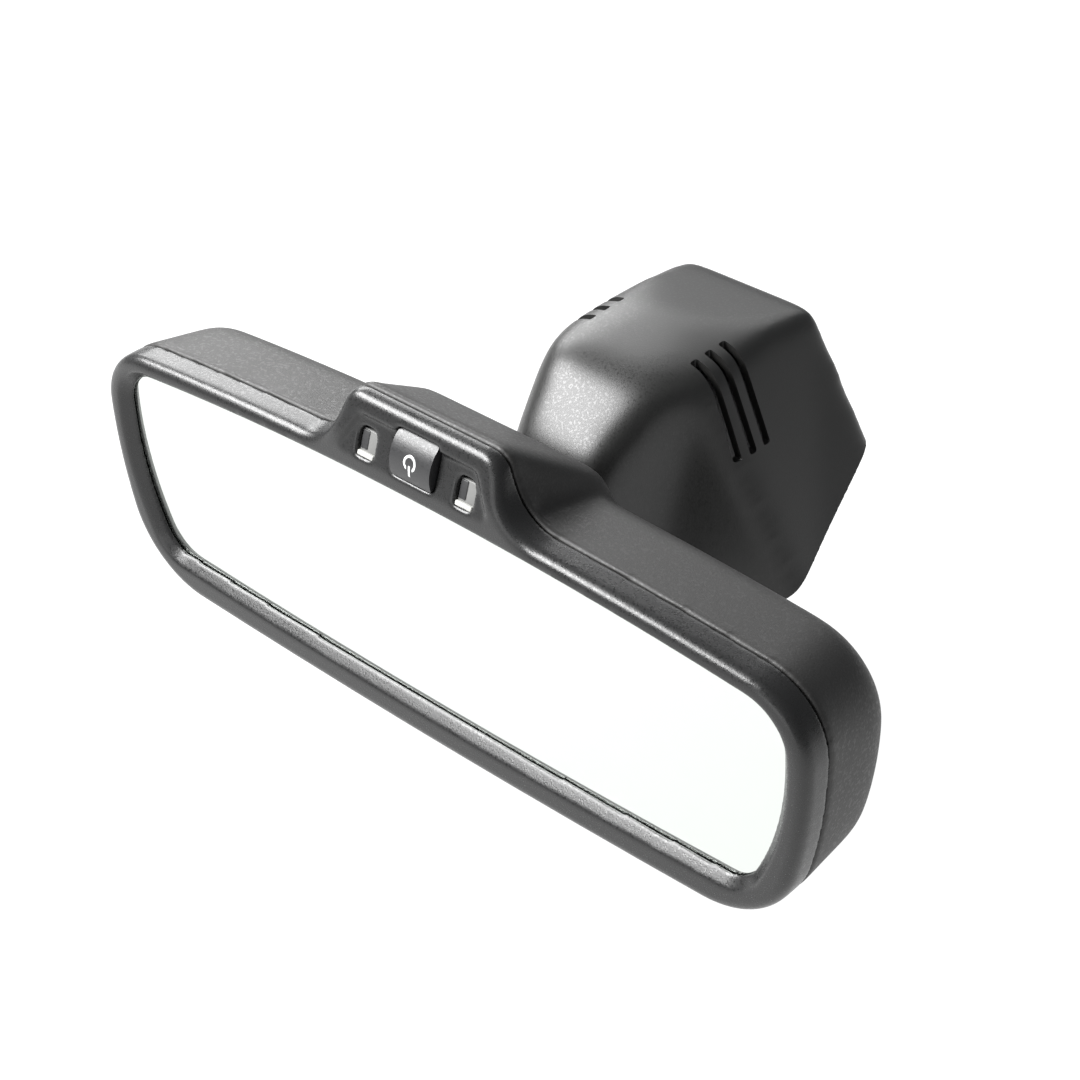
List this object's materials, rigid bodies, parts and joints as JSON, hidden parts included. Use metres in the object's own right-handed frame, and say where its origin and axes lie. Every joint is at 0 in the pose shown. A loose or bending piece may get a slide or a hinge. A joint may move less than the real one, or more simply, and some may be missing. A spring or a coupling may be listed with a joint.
{
  "type": "interior rearview mirror",
  "caption": "Auto-dimming interior rearview mirror: framed glass with a power button, on a ball joint and a windscreen mount under a vented cover.",
  "frame": {"origin": "centre of the mount foot's socket at the windscreen plane", "axes": "+X along the mirror's long axis, +Y from the glass towards the windscreen, +Z towards the edge of the head that carries the button; in the car this edge faces down, so the part is turned half a turn about Y and the windscreen plane (27.5 degrees to the XY plane) leans back over it"},
  "size_m": [0.2454, 0.1391, 0.1006],
  "materials": {
    "bezel": "fine grained black with a soft sheen",
    "housing": "fine grained satin black",
    "cover": "satin black",
    "front_glass": "clear polished",
    "gel": "clear dimming gel",
    "mirror": "silvered back of polished glass",
    "seal": "black sealant",
    "clip_metal": "tinned spring strip",
    "foam": "closed-cell foam tape",
    "carrier": "filled moulding",
    "board": "green solder mask",
    "chip": "moulded package",
    "connector": "natural nylon",
    "light_pipe": "frosted clear moulding",
    "led": "clear resin",
    "button": "satin dark grey",
    "symbol": "light grey print",
    "plunger": "white acetal",
    "liner": "natural acetal",
    "spring_steel": "spring steel",
    "steel": "zinc plated",
    "foot": "die cast, blasted",
    "gasket": "black foam rubber",
    "pins": "tin over brass"
  },
  "bodies": {
    "mount": {"ball_stem": "steel", "stem_nut": "steel", "mount_foot": "foot", "foot_leaf": "spring_steel", "foot_screw": "steel", "mount_cover": "cover", "rim_gasket": "gasket", "cover_frame": "carrier", "frame_screws": "steel", "harness_header": "connector", "header_pins": "pins"},
    "liner": {"socket_liner": "liner"},
    "clamp": {"clamp_spring": "spring_steel"},
    "head": {"front_bezel": "bezel", "rear_housing": "housing", "front_glass": "front_glass", "dimming_gel": "gel", "edge_seal": "seal", "rear_glass": "mirror", "bus_clip_top": "clip_metal", "bus_clip_bottom": "clip_metal", "foam_pad": "foam", "carrier_plate": "carrier", "circuit_board": "board", "board_screws": "steel", "board_connector": "connector", "control_chip": "chip", "status_led": "led", "glare_sensor": "chip", "ambient_sensor": "chip", "status_light_pipe": "light_pipe", "glare_sensor_window": "light_pipe", "ambient_light_pipe": "light_pipe", "switch_body": "chip", "ball_socket": "carrier", "socket_screws": "steel"},
    "button": {"power_button": "button", "button_symbol": "symbol", "switch_plunger": "plunger"}
  },
  "joints": [
    {"name": "pan", "type": "hinge", "parent": "mount", "child": "liner", "pos_m": [0, -0.056, 0.0307], "axis": [0, 0, 1], "range_deg": [-20, 20]},
    {"name": "roll", "type": "hinge", "parent": "liner", "child": "clamp", "pos_m": [0, -0.056, 0.0307], "axis": [0, 1, 0], "range_deg": [-10, 10]},
    {"name": "tilt", "type": "hinge", "parent": "clamp", "child": "head", "pos_m": [0, -0.056, 0.0307], "axis": [1, 0, 0], "range_deg": [-12, 12]},
    {"name": "button_press", "type": "slide", "parent": "head", "child": "button", "axis": [0, 1, 0], "range_m": [0, 0.0008], "stiffness_N_per_m": 600, "springref_m": -0.001}
  ]
}
